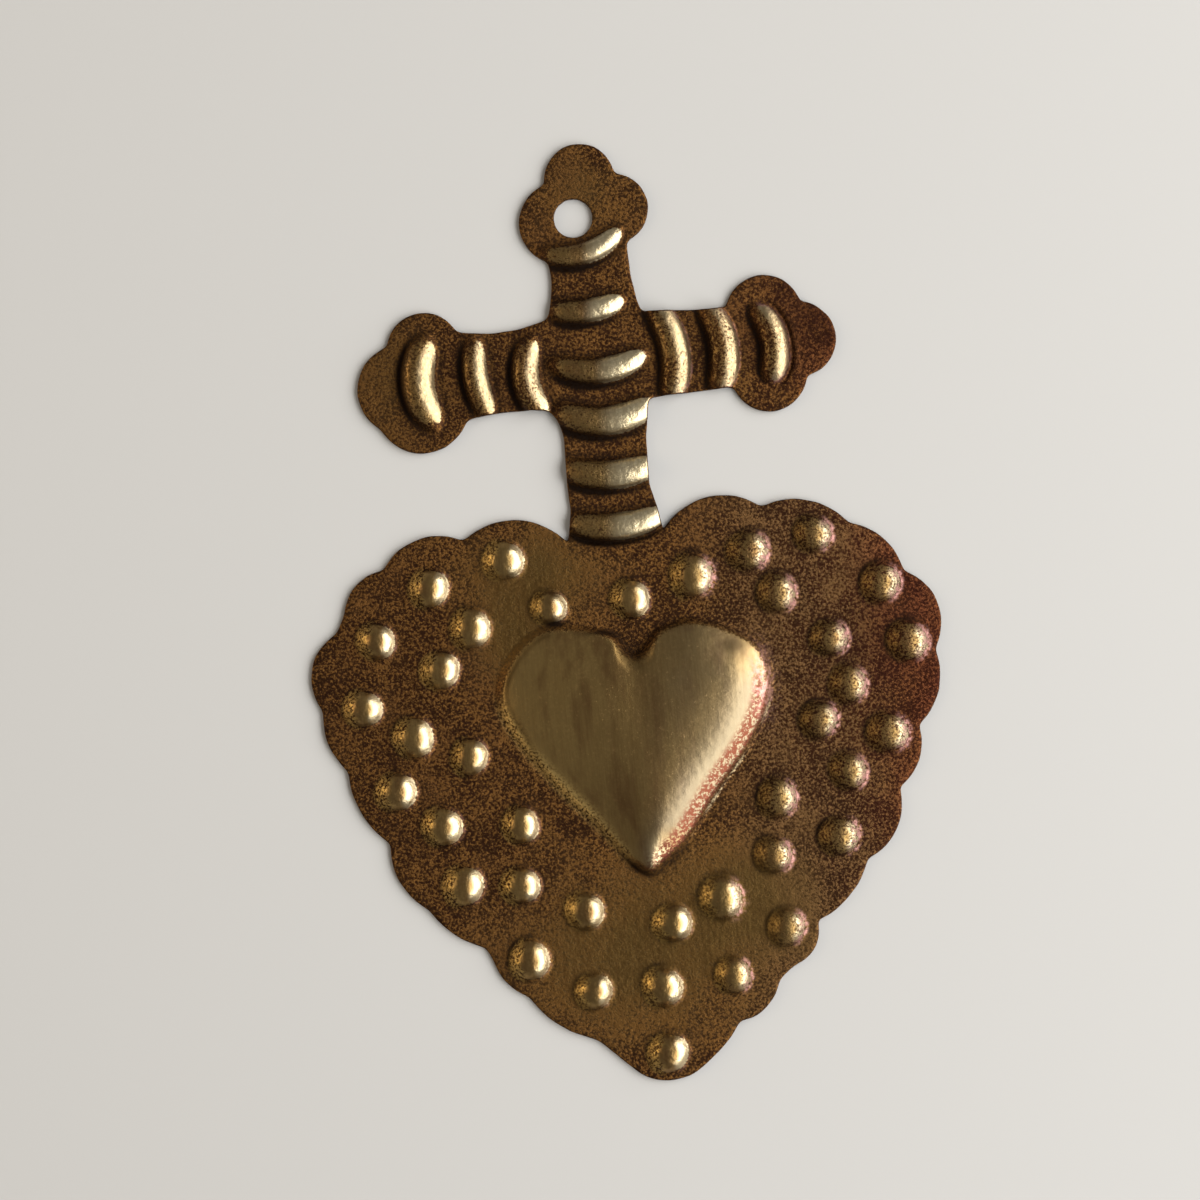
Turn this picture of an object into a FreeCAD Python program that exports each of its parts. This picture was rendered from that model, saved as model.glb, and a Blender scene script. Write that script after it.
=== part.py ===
import FreeCAD, Part
import math
import os

# Milagro charm: one thin brass sheet, die cut to a scalloped heart under a cross and struck up
# from behind. All lengths are millimetres.
# +Z comes out of the struck face, +Y runs from the tip of the heart to the head of the cross.
# The flat ground of the sheet lies on z = 0, and the origin is the middle of the outline.

# The sheet
sheet_thickness = 0.35

# The heart plate: its widest and tallest, and the softening of every inner corner of the cut
heart_width = 51.0
heart_height = 46.8
corner_radius = 0.7

# The cross: from arm end to arm end, and from its foot to its head
cross_span = 39.2
cross_height = 32.0
cross_foot_share = 0.942

# The hanging hole
hole_diameter = 3.1
hole_place_shares = (-0.024, 0.809)

# The small beads punched round the heart
bead_diameter = 3.0
bead_height = 1.0

# The crescent ridges across the cross
ridge_width = 2.5
ridge_height = 0.95

# The plain raised heart: its plan, its height at the wall, the doming of its top
# and the rounding of its shoulder
boss_width = 22.2
boss_length = 20.9
boss_wall = 1.55
boss_doming = 0.55
boss_shoulder = 1.15
boss_place_shares = (0.008, 0.581)

# One overrun lets every cutting and clipping tool pass its target
overrun = 1.0

# Corners of the cut edge, anticlockwise. Each row is x and y as shares of the cross or the heart,
# then the rise of the arc to the next corner as a share of its chord: more than 0 swells outwards,
# 0 is straight.
CROSS_CORNER_SHARES = (
    # right side of the foot
    (0.099, 0.005, 0.00), (0.092, 0.069, 0.00), (0.081, 0.121, -0.03), (0.096, 0.340, 0.00),
    # right trefoil
    (0.272, 0.347, 0.41), (0.424, 0.359, 0.44), (0.425, 0.546, 0.40), (0.272, 0.549, -0.01),
    (0.097, 0.560, -0.04),
    # top trefoil
    (0.082, 0.739, 0.40), (0.069, 0.912, 0.51), (-0.075, 0.899, 0.36), (-0.084, 0.705, -0.07),
    (-0.097, 0.562, -0.07),
    # left trefoil
    (-0.286, 0.552, 0.38), (-0.430, 0.531, 0.32), (-0.461, 0.327, 0.33), (-0.281, 0.328, -0.04),
    # left side of the foot, with the first scallop of the heart
    (-0.111, 0.331, -0.09), (-0.086, 0.255, 0.00), (-0.089, 0.141, 0.00), (-0.086, 0.077, 0.00),
    (-0.098, -0.005, 0.21),
)
HEART_CORNER_SHARES = (
    # down the left side to the tip
    (-0.240, 0.960, 0.20), (-0.371, 0.922, 0.18), (-0.439, 0.853, 0.00), (-0.454, 0.821, 0.23),
    (-0.487, 0.690, 0.12), (-0.456, 0.583, 0.12), (-0.400, 0.452, 0.15), (-0.348, 0.331, 0.10),
    (-0.266, 0.258, 0.00), (-0.253, 0.227, 0.13), (-0.207, 0.169, 0.10), (-0.104, 0.082, 0.00),
    # the tip and up the right side
    (-0.043, 0.017, 0.13), (0.042, 0.008, 0.06), (0.124, 0.091, 0.17), (0.192, 0.156, 0.00),
    (0.220, 0.179, 0.20), (0.261, 0.251, 0.12), (0.349, 0.348, 0.19), (0.409, 0.466, 0.17),
    (0.449, 0.569, 0.16), (0.486, 0.698, 0.24), (0.448, 0.836, 0.16), (0.370, 0.927, 0.17),
    (0.234, 0.969, 0.22),
)

# Middles of the beads, as shares of the heart plate
BEAD_SHARES = (
    # left lobe and left side
    (-0.300, 0.883), (-0.179, 0.919), (-0.391, 0.801), (-0.241, 0.808), (-0.295, 0.741),
    (-0.422, 0.688), (-0.347, 0.630), (-0.262, 0.588), (-0.382, 0.540), (-0.315, 0.473),
    (-0.192, 0.463), (-0.291, 0.368), (-0.201, 0.359), (-0.104, 0.305), (-0.198, 0.230),
    (-0.102, 0.166),
    # under the foot of the cross
    (-0.115, 0.831), (0.015, 0.833), (0.115, 0.862),
    # right lobe and right side
    (0.207, 0.896), (0.312, 0.914), (0.246, 0.819), (0.411, 0.819), (0.322, 0.733),
    (0.445, 0.715), (0.345, 0.651), (0.293, 0.594), (0.400, 0.562), (0.332, 0.502),
    (0.216, 0.467), (0.308, 0.392), (0.201, 0.370), (0.113, 0.305), (0.211, 0.244),
    # down to the tip
    (0.032, 0.270), (0.007, 0.162), (0.120, 0.171), (0.006, 0.048),
)

# Crescent ridges, as shares of the cross: one end, the crown, the other end, and the girth
# as a share of the named ridge width
RIDGE_SHARES = (
    # left arm, bowed to the left
    ((-0.332, 0.547), (-0.373, 0.438), (-0.331, 0.314), 1.16),
    ((-0.241, 0.541), (-0.254, 0.426), (-0.225, 0.322), 0.90),
    ((-0.119, 0.522), (-0.152, 0.412), (-0.106, 0.313), 0.97),
    # right arm, bowed to the right
    ((0.114, 0.586), (0.160, 0.443), (0.136, 0.320), 1.03),
    ((0.224, 0.573), (0.261, 0.442), (0.234, 0.326), 1.03),
    ((0.326, 0.553), (0.366, 0.434), (0.345, 0.346), 0.97),
    # shaft, bowed downwards
    ((-0.102, 0.735), (-0.010, 0.717), (0.075, 0.777), 0.77),
    ((-0.097, 0.588), (-0.018, 0.573), (0.069, 0.598), 0.84),
    ((-0.105, 0.459), (-0.005, 0.420), (0.104, 0.460), 0.90),
    ((-0.106, 0.343), (-0.007, 0.293), (0.115, 0.340), 1.03),
    ((-0.103, 0.193), (-0.007, 0.157), (0.115, 0.185), 1.03),
    ((-0.102, 0.057), (-0.011, 0.026), (0.118, 0.059), 0.97),
)

# Points of the raised heart's outline, as shares of its width and length from its own middle
BOSS_SHARES = (
    # cleft and left lobe
    (0.016, 0.355), (-0.061, 0.436), (-0.166, 0.478), (-0.302, 0.490), (-0.407, 0.429),
    (-0.482, 0.321), (-0.500, 0.206),
    # left flank, tip, right flank
    (-0.441, 0.052), (-0.306, -0.148), (-0.179, -0.308), (-0.085, -0.438), (-0.011, -0.500),
    (0.058, -0.461), (0.150, -0.377), (0.278, -0.200), (0.402, -0.042),
    # right lobe
    (0.481, 0.105), (0.500, 0.239), (0.459, 0.352), (0.343, 0.434), (0.222, 0.469), (0.111, 0.446),
)

# Half profiles of a bead and of the hollow behind it, from the foot up, as shares of its own
# foot's radius and of the bead's height
BEAD_PROFILE_SHARES = ((1.00, 0.00), (0.80, 0.47), (0.52, 0.80), (0.20, 1.00))
BEAD_HOLLOW_SHARES = ((1.00, 0.00), (0.76, 0.60), (0.34, 1.00))

# Profile of the raised heart's shoulder and of its domed top, as shares of the way in and up
BOSS_SHOULDER_SHARES = ((0.00, 0.00), (0.13, 0.50), (0.50, 0.87), (1.00, 1.00))
BOSS_DOME_SHARES = ((0.30, 0.55), (0.65, 1.00))

# Where a ridge's cross-sections stand, as shares of the way from its crown to each end
RIDGE_STATION_SHARES = (-0.97, -0.84, -0.62, -0.34, 0.00, 0.34, 0.62, 0.84, 0.97)

# The small forms are built with flat sides in place of rounds: round a bead, round the raised
# heart and over the arch of a ridge
bead_sides = 12
boss_sides = 40
ridge_sides = 5

# The least turn between two stretches of the cut edge that is rounded as an inner corner,
# as the sine of its angle
inner_turn = 0.15

V = FreeCAD.Vector
UP = V(0, 0, 1)

tallest = sheet_thickness + boss_wall + boss_doming + overrun


def heart_place(x_share, y_share):
    return V(x_share * heart_width, y_share * heart_height, 0)


def cross_place(x_share, y_share):
    return V(x_share * cross_span, cross_foot_share * heart_height + y_share * cross_height, 0)


def cut_edge(start, end, rise_share):
    """One stretch of the cut edge: a straight run, or an arc that swells to the right of travel."""
    if rise_share == 0:
        return Part.LineSegment(start, end).toShape()
    chord = end - start
    crown = (start + end) / 2 + V(chord.y, -chord.x, 0) * rise_share
    return Part.Arc(start, crown, end).toShape()


def charm_outline():
    """Face of the die-cut outline, its inner corners rounded as the die leaves them."""
    corners = [(cross_place(x, y), rise) for x, y, rise in CROSS_CORNER_SHARES]
    corners += [(heart_place(x, y), rise) for x, y, rise in HEART_CORNER_SHARES]
    edges = []
    inner_corners = []
    for (start, rise), (end, _) in zip(corners, corners[1:] + corners[:1]):
        edges.append(cut_edge(start, end, rise))
    for before, after in zip(edges[-1:] + edges[:-1], edges):
        arriving = before.tangentAt(before.LastParameter)
        leaving = after.tangentAt(after.FirstParameter)
        if arriving.cross(leaving).z < -inner_turn:
            inner_corners.append(after.valueAt(after.FirstParameter))
    block = Part.Face(Part.Wire(edges)).extrude(UP * tallest)
    uprights = [edge for edge in block.Edges
                if any(vertex_above(edge, corner) for corner in inner_corners)]
    block = block.makeFillet(corner_radius, uprights)
    return min(block.Faces, key=lambda face: face.CenterOfMass.z)


def vertex_above(edge, corner):
    """True for the upright edge that stands on a corner."""
    ends = [vertex.Point for vertex in edge.Vertexes]
    return all(V(end.x, end.y, 0).isEqual(corner, corner_radius / 100) for end in ends)


def flat_sided(rings):
    """A solid built up from rings of corners, with flat sides between them."""
    faces = [Part.Face(Part.makePolygon(ring)) for ring in (rings[0], rings[-1])]
    for lower, upper in zip(rings, rings[1:]):
        for low_near, low_far, up_far, up_near in zip(lower, lower[1:], upper[1:], upper):
            faces += panels(low_near, low_far, up_far, up_near)
    return Part.Solid(Part.Shell(faces))


def panels(low_near, low_far, up_far, up_near):
    """One flat side through four corners, or two where they don't lie in one plane."""
    square_to_three = (low_far - low_near).cross(up_near - low_near).normalize()
    if abs(square_to_three.dot(up_far - low_near)) < sheet_thickness / 1e5:
        return [Part.Face(Part.makePolygon([low_near, low_far, up_far, up_near, low_near]))]
    return [Part.Face(Part.makePolygon([low_near, low_far, up_far, low_near])),
            Part.Face(Part.makePolygon([low_near, up_far, up_near, low_near]))]


def bead_ring(place, radius, height):
    """Corners of one level ring of a bead, the first one given again at the end."""
    turns = [2 * math.pi * side / bead_sides for side in range(bead_sides)]
    ring = [place + V(radius * math.cos(turn), radius * math.sin(turn), height) for turn in turns]
    return ring + ring[:1]


def bead(place, inset, root, profile_shares):
    """A punched bead, or one sheet further in and lower the hollow behind it."""
    foot_radius = bead_diameter / 2 - inset
    foot = sheet_thickness - inset
    rings = [bead_ring(place, foot_radius, root)]
    for across_share, up_share in profile_shares:
        rings.append(bead_ring(place, across_share * foot_radius, foot + up_share * bead_height))
    return flat_sided(rings)


def ridge(first_end, crown, last_end, girth_share, inset, root):
    """A crescent ridge: part of a round tube, bowed through three places, that stands highest at
    its crown and sinks into the sheet at both ends. The hollow behind it is one sheet thinner."""
    bow = Part.Arc(first_end, crown, last_end).toShape()
    half_width = ridge_width * girth_share / 2
    height = ridge_height * girth_share
    tube_radius = (half_width ** 2 + height ** 2) / (2 * height)
    rings = []
    for share in RIDGE_STATION_SHARES:
        along = bow.FirstParameter + (bow.LastParameter - bow.FirstParameter) * (1 + share) / 2
        place = bow.valueAt(along)
        across = bow.tangentAt(along).cross(UP)
        rise = height * (1 - share ** 2)
        radius = tube_radius - inset
        middle = place + UP * (sheet_thickness + rise - tube_radius)
        foot_turn = math.acos(1 - rise / radius)
        arch = []
        for side in range(ridge_sides + 1):
            turn = foot_turn * (2 * side / ridge_sides - 1)
            arch.append(middle + across * radius * math.sin(turn) + UP * radius * math.cos(turn))
        feet = [V(foot.x, foot.y, root) for foot in (arch[-1], arch[0])]
        rings.append(arch + feet + arch[:1])
    return flat_sided(rings)


def boss_ring(inset, height):
    """Corners of the raised heart's outline, drawn in by an inset all round, at one level."""
    scale = 1 - inset / (boss_width / 2)
    middle = heart_place(*boss_place_shares) + UP * height
    points = [middle + V(x * boss_width, y * boss_length, 0) * scale for x, y in BOSS_SHARES]
    curve = Part.BSplineCurve()
    curve.interpolate(Points=points, PeriodicFlag=True)
    return curve.discretize(Number=boss_sides + 1)


def boss(inset, root):
    """The plain raised heart, with an upright foot, a rounded shoulder and a gently domed top,
    or one sheet further in and lower the hollow behind it."""
    foot = sheet_thickness + boss_wall - boss_shoulder - inset
    top_reach = boss_width / 2 - boss_shoulder
    rings = [boss_ring(inset, root)]
    for in_share, up_share in BOSS_SHOULDER_SHARES:
        rings.append(boss_ring(inset + in_share * boss_shoulder, foot + up_share * boss_shoulder))
    for in_share, up_share in BOSS_DOME_SHARES:
        drawn_in = inset + boss_shoulder + in_share * top_reach
        rings.append(boss_ring(drawn_in, foot + boss_shoulder + up_share * boss_doming))
    return flat_sided(rings)


def pressed_sheet():
    """The whole charm: a flat sheet with every struck form raised from it and hollow behind."""
    bead_places = [heart_place(*share) for share in BEAD_SHARES]
    ridge_rows = []
    for first_end, crown, last_end, girth_share in RIDGE_SHARES:
        places = [cross_place(*share) for share in (first_end, crown, last_end)]
        ridge_rows.append((*places, girth_share))
    root = sheet_thickness / 2
    outline = charm_outline()
    charm = outline.extrude(UP * sheet_thickness)
    # The ridges run out over the cut edge, so they are trimmed to it
    charm = charm.fuse([ridge(*row, 0, root) for row in ridge_rows])
    charm = charm.common(outline.extrude(UP * tallest))
    charm = charm.fuse(boss(0, root))
    charm = charm.cut([ridge(*row, sheet_thickness, -overrun) for row in ridge_rows])
    hole_foot = cross_place(*hole_place_shares) - UP * overrun
    charm = charm.cut(Part.makeCylinder(hole_diameter / 2, tallest, hole_foot))
    charm = charm.removeSplitter()
    charm = charm.fuse([bead(place, 0, root, BEAD_PROFILE_SHARES) for place in bead_places])
    hollow = (sheet_thickness, -overrun, BEAD_HOLLOW_SHARES)
    charm = charm.cut([bead(place, *hollow) for place in bead_places])
    charm = charm.cut(boss(sheet_thickness, -overrun))
    middle = outline.BoundBox.Center
    charm.translate(V(-middle.x, -middle.y, 0))
    return charm


os.makedirs("parts", exist_ok=True)
charm = pressed_sheet()
charm.exportStep("parts/pressed_sheet.step")
print("solids", len(charm.Solids), "faces", len(charm.Faces), "valid", charm.isValid())
print("box", charm.optimalBoundingBox(False), "volume", charm.Volume)
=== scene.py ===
import math

import bpy
import numpy as np
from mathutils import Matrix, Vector, geometry, kdtree, noise


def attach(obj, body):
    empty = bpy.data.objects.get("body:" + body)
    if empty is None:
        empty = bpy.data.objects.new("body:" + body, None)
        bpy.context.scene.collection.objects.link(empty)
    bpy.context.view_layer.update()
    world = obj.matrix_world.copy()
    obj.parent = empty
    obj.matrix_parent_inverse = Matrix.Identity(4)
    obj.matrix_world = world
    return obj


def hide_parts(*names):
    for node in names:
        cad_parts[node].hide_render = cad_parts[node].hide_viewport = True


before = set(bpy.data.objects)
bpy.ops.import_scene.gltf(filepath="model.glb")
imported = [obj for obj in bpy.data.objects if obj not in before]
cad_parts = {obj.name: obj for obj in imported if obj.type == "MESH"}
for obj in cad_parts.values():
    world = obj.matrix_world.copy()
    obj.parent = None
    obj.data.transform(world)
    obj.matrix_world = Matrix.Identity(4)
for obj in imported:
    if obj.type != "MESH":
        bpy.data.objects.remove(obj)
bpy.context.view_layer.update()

# Milagro charm: one thin brass sheet, die cut to a scalloped heart under a cross and struck up
# from behind, aged to a dark brown patina and rubbed bright on what stands out.
# Lengths are millimetres up to the mesh, which is made in metres in the frame's own axes.

MM = 0.001

# The sheet and its cut edge
sheet_thickness = 0.35
heart_width = 51.0
heart_height = 46.8
cross_span = 39.2
cross_height = 32.0
cross_foot_share = 0.942
corner_softening = 0.30
edge_step = 0.15
edge_points_kept = 0.98
edge_roll = 0.10
back_burr = 0.05
edge_waver = 0.05
edge_waver_size = 1.3

# The slow slack of a hand-worked sheet and the fine pitting of its face: how high, how wide
sheet_slack = 0.03
slack_size = 9.0
pitting_depth = 0.010
pitting_size = 0.55

# The size of the blotches in which dirt and wear come and go
blotch_size = 2.6

# Where in the noise each irregularity is taken, so that no two run alike
EDGE_LAYER, SLACK_LAYER, PITTING_LAYER, BLOTCH_LAYER = 3.7, 1.3, 8.1, 5.5

# The hanging hole
hole_diameter = 3.1
hole_place_shares = (-0.024, 0.809)
hole_steps = 64

# The beads: the round of the dome, its height and the blending of its foot into the sheet
bead_round = 1.74
bead_height = 1.00
bead_foot = 1.80
bead_foot_blend = 0.42
bead_ring_width = 0.20
bead_search = 3.2

# A bead's flank, out from its middle, where it takes the painted highlight on the lit side and the
# painted ochre glow on the shaded side: where it comes and where it goes
bead_flank_span = (0.55, 1.05)
bead_flank_end_span = (1.55, 1.95)

# How far a flank is turned to the light or from it, and how dark the ring at the foot gets
lit_facing_span, shade_facing_span = (0.25, 0.85), (0.0, 0.7)
bead_ring_strength = 0.45

# The steepest that any struck flank gets
steepest_slope = 1.60

# How unlike the beads are: in girth, and in swelling twice and three times round. The last
# three turn each bead a little further than the one before.
bead_girth_spread = 0.05
bead_two_swell = 0.030
bead_three_swell = 0.015
bead_girth_turn, bead_two_turn, bead_three_turn = 2.4, 1.7, 2.9

# The crescent ridges, and how far the crest leans to the outside of the bow
ridge_width = 2.42
ridge_height = 0.95
ridge_foot_blend = 0.18
ridge_lean = 0.20
ridge_crease_depth = 0.24
ridge_crease_width = 0.18
ridge_crease_gap = 0.05
ridge_end_fall = 2.6
ridge_end_share = 1.35
ridge_search = 8.0

# The dirt and painted shade along its outer and inner foot, darker on the side turned from the
# light: how far out, how wide, how strong by the way the outer flank is turned, and how far past its
# ends
outer_dirt_and_shade_gap, outer_dirt_and_shade_width = 0.16, 0.30
inner_dirt_and_shade_gap, inner_dirt_and_shade_width, inner_edge_width = 0.22, 0.34, 0.20
DIRT_AND_SHADE_TURNED_AWAY, DIRT_AND_SHADE_TO_LIGHT = (1.25, 0.5), (0.25, 1.0)
ridge_line_ends, inner_dirt_and_shade_end = 1.1, 1.05

# Where it is lit and takes the painted highlight: across it in half widths, or in half lengths if it
# lies along the light, and over what shares of its height. Then over what half lengths along the
# light the dirt and painted shade at its outer foot grow darker, towards the end away from the
# light.
lit_side_span, lit_end_span, darker_end_span = (0.0, 0.40), (-0.10, 0.32), (0.4, -0.4)
ridge_flank_span = (0.02, 0.3)

# From how much a ridge counts as bowed along the light, and its outer flank as facing it
bowed_to_light, faces_light = 0.7, 0.5

# The plain raised heart
boss_width = 22.2
boss_length = 20.9
boss_height = 2.06
boss_place_shares = (0.008, 0.581)
boss_foot_blend = 0.30
boss_search = 2.0
far_outside = -9.0
boss_points = 2400
curve_steps = 24
climb_steps = 400
notch_steepness = 2.2

# The shallow cleft under its notch: depth, how far in from the foot it is full, place from the
# middle and reach each way
cleft_depth = 0.12
cleft_full_in = 2.0
cleft_place = (0.3, 0.22 * boss_length)
cleft_reach = (1.5, 4.6)

# The shoulder at its upper left that rises more gently: how much, where and how far
soft_shoulder = 0.58
soft_shoulder_place = (-7.5, 7.5)
soft_shoulder_reach = 4.0

# The evening out of its top: where it starts in from the foot, how fast and how far it widens
evening_start = 0.5
evening_growth = 0.45
evening_reach = 1.8
evening_turns = 12
evening_inner_share = 0.55

# The smooth, lightly brushed patches of the ground: place, reach each way and how fully the
# specks are rubbed away
SMOOTH_PATCHES = (
    ((-7.0, 3.8), (5.0, 3.4), 1.0), ((-9.0, -1.5), (2.6, 3.0), 1.0),
    ((-2.0, -27.5), (8.5, 6.5), 1.0), ((8.0, -24.5), (5.0, 5.0), 1.0),
    ((-16.5, 20.5), (3.2, 4.6), 0.5), ((0.3, 33.8), (3.6, 3.2), 0.4),
)

# Where the ground is blackened: place, reach and strength
SOOTY_PATCHES = (((20.5, 24.5), 5.0, 0.95), ((21.5, -4.0), 5.0, 0.30))

# How far the charm is turned in the photo, in degrees. The light comes from the photo's right, so
# this is also its side on the sheet. The dim side is where the ring of dirt and painted shade at
# each bead's foot is darkest.
photo_turn = -5.5
bright_side = math.radians(photo_turn)
dim_side = math.radians(140)
light_way = np.array((math.cos(bright_side), math.sin(bright_side)))

# Lattice of the mesh: fine over the struck forms, coarse on the flat ground and the back
fine_step = 0.15
ground_stride = 3
boss_stride = 2
back_step = 0.33
face_margin = 0.20
back_margin = 0.28
least_gap = 1e-7

# How far the fine lattice reaches round each form
fine_round_bead = 2.1
fine_beside_ridge = 1.9
fine_ridge_share = 1.15
fine_round_crown = 6.0
fine_boss_foot = (-0.6, 3.2)

# The least that is left of the sheet's thickness over a hollow
least_sheet_share = 0.6

# Corners of the cut edge, anticlockwise. Each row is x and y as shares of the cross or the heart,
# then the rise of the arc to the next corner as a share of its chord.
CROSS_CORNER_SHARES = (
    # right side of the foot
    (0.099, 0.005, 0.00), (0.092, 0.069, 0.00), (0.081, 0.121, -0.03), (0.096, 0.340, 0.00),
    # right trefoil
    (0.272, 0.347, 0.41), (0.424, 0.359, 0.44), (0.425, 0.546, 0.40), (0.272, 0.549, -0.01),
    (0.097, 0.560, -0.04),
    # top trefoil
    (0.082, 0.739, 0.40), (0.069, 0.912, 0.51), (-0.075, 0.899, 0.36), (-0.084, 0.705, -0.07),
    (-0.097, 0.562, -0.07),
    # left trefoil
    (-0.286, 0.552, 0.38), (-0.430, 0.531, 0.32), (-0.461, 0.327, 0.33), (-0.281, 0.328, -0.04),
    # left side of the foot, with the first scallop of the heart
    (-0.111, 0.331, -0.09), (-0.086, 0.255, 0.00), (-0.089, 0.141, 0.00), (-0.086, 0.077, 0.00),
    (-0.098, -0.005, 0.21),
)
HEART_CORNER_SHARES = (
    # down the left side to the tip
    (-0.240, 0.960, 0.20), (-0.371, 0.922, 0.18), (-0.439, 0.853, 0.00), (-0.454, 0.821, 0.23),
    (-0.487, 0.690, 0.12), (-0.456, 0.583, 0.12), (-0.400, 0.452, 0.15), (-0.348, 0.331, 0.10),
    (-0.266, 0.258, 0.00), (-0.253, 0.227, 0.13), (-0.207, 0.169, 0.10), (-0.104, 0.082, 0.00),
    # the tip and up the right side
    (-0.043, 0.017, 0.13), (0.042, 0.008, 0.06), (0.124, 0.091, 0.17), (0.192, 0.156, 0.00),
    (0.220, 0.179, 0.20), (0.261, 0.251, 0.12), (0.349, 0.348, 0.19), (0.409, 0.466, 0.17),
    (0.449, 0.569, 0.16), (0.486, 0.698, 0.24), (0.448, 0.836, 0.16), (0.370, 0.927, 0.17),
    (0.234, 0.969, 0.22),
)

# Middles of the beads as shares of the heart plate, and each one's own girth
BEAD_SHARES = (
    # left lobe and left side
    (-0.300, 0.883), (-0.179, 0.919), (-0.391, 0.801), (-0.241, 0.808), (-0.295, 0.741),
    (-0.422, 0.688), (-0.347, 0.630), (-0.262, 0.588), (-0.382, 0.540), (-0.315, 0.473),
    (-0.192, 0.463), (-0.291, 0.368), (-0.201, 0.359), (-0.104, 0.305), (-0.198, 0.230),
    (-0.102, 0.166),
    # under the foot of the cross
    (-0.115, 0.831), (0.015, 0.833), (0.115, 0.862),
    # right lobe and right side
    (0.207, 0.896), (0.312, 0.914), (0.246, 0.819), (0.411, 0.819), (0.322, 0.733),
    (0.445, 0.715), (0.345, 0.651), (0.293, 0.594), (0.400, 0.562), (0.332, 0.502),
    (0.216, 0.467), (0.308, 0.392), (0.201, 0.370), (0.113, 0.305), (0.211, 0.244),
    # down to the tip
    (0.032, 0.270), (0.007, 0.162), (0.120, 0.171), (0.006, 0.048),
)

# The beads struck fuller or thinner than the rest, by their number in the rows above
BEAD_GIRTHS = {16: 0.90, 18: 1.12, 32: 1.12}

# The nick at the foot of the bead beside the raised heart, from that bead's middle
nicked_bead = 16
nick_offset = (0.3, -1.35)
nick_reach = (1.0, 0.32)

# Crescent ridges as shares of the cross: one end, the crown, the other end, and the girth
# as a share of the named ridge width
RIDGE_SHARES = (
    # left arm, bowed to the left
    ((-0.332, 0.547), (-0.373, 0.438), (-0.331, 0.314), 1.16),
    ((-0.241, 0.541), (-0.254, 0.426), (-0.225, 0.322), 0.90),
    ((-0.119, 0.522), (-0.152, 0.412), (-0.106, 0.313), 0.97),
    # right arm, bowed to the right
    ((0.114, 0.586), (0.160, 0.443), (0.136, 0.320), 1.03),
    ((0.224, 0.573), (0.261, 0.442), (0.234, 0.326), 1.03),
    ((0.326, 0.553), (0.366, 0.434), (0.345, 0.346), 0.97),
    # shaft, bowed downwards
    ((-0.102, 0.735), (-0.010, 0.717), (0.075, 0.777), 0.77),
    ((-0.097, 0.588), (-0.018, 0.573), (0.069, 0.598), 0.84),
    ((-0.105, 0.459), (-0.005, 0.420), (0.104, 0.460), 0.90),
    ((-0.106, 0.343), (-0.007, 0.293), (0.115, 0.340), 1.03),
    ((-0.103, 0.193), (-0.007, 0.157), (0.115, 0.185), 1.03),
    ((-0.102, 0.057), (-0.011, 0.026), (0.118, 0.059), 0.97),
)

# Points of the raised heart's outline, as shares of its width and length from its own middle
BOSS_SHARES = (
    # cleft and left lobe
    (0.016, 0.355), (-0.061, 0.436), (-0.166, 0.478), (-0.302, 0.490), (-0.407, 0.429),
    (-0.482, 0.321), (-0.500, 0.206),
    # left flank, tip, right flank
    (-0.441, 0.052), (-0.306, -0.148), (-0.179, -0.308), (-0.085, -0.438), (-0.011, -0.500),
    (0.058, -0.461), (0.150, -0.377), (0.278, -0.200), (0.402, -0.042),
    # right lobe
    (0.481, 0.105), (0.500, 0.239), (0.459, 0.352), (0.343, 0.434), (0.222, 0.469), (0.111, 0.446),
)

# The points that bridge the notch between its lobes, in the same shares
BRIDGE_SHARES = ((0.030, 0.452), (-0.070, 0.464))

# How steeply the raised heart climbs, in degrees, at each depth in from its foot
BOSS_CLIMB = ((0.0, 62), (0.35, 50), (0.6, 35), (1.8, 29), (2.8, 20), (4.0, 11), (6.0, 4), (9.5, 1))


def over(low, high, values):
    """0 below low, 1 above high and an easy turn between."""
    share = np.clip((values - low) / (high - low), 0, 1)
    return share * share * (3 - 2 * share)


def between(come_span, go_span, values):
    """0 before the first span, 1 between the two and 0 again after the second."""
    return over(*come_span, values) * (1 - over(*go_span, values))


def patch(points, middle, reach):
    """A soft-edged patch of the sheet around a place."""
    return np.exp(-(((points - middle) / reach) ** 2).sum(1))


def soft_line(values, middle, reach):
    """1 on a line, with a soft fall to both its sides."""
    return np.exp(-((values - middle) / reach) ** 2)


def charm_place(x_share, y_share, cross=False):
    """A place on the sheet from its shares of the heart, or of the cross."""
    if cross:
        cross_foot = cross_foot_share * heart_height
        return np.array((x_share * cross_span, cross_foot + y_share * cross_height))
    return np.array((x_share * heart_width, y_share * heart_height))


def cut_arc(start, end, rise_share, step):
    """Points of one stretch of the cut edge, without its end: straight, or swelling outwards."""
    chord = end - start
    count = max(2, round(np.linalg.norm(chord) / step))
    shares = np.arange(count) / count
    if rise_share == 0:
        return start + shares[:, None] * chord
    half_turn = 2 * math.atan(2 * rise_share)
    radius_share = 0.5 / math.sin(half_turn)
    turns = (2 * shares - 1) * half_turn
    along = 0.5 + radius_share * np.sin(turns)
    outward = radius_share * (np.cos(turns) - math.cos(half_turn))
    square = np.array((chord[1], -chord[0]))
    return start + along[:, None] * chord + outward[:, None] * square


def evenly_spaced(loop, count):
    """The same closed loop with its points at equal distances."""
    closed = np.vstack((loop, loop[:1]))
    reach = np.concatenate(([0], np.cumsum(np.linalg.norm(np.diff(closed, axis=0), axis=1))))
    wanted = np.arange(count) / count * reach[-1]
    return np.column_stack([np.interp(wanted, reach, closed[:, axis]) for axis in (0, 1)])


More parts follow.
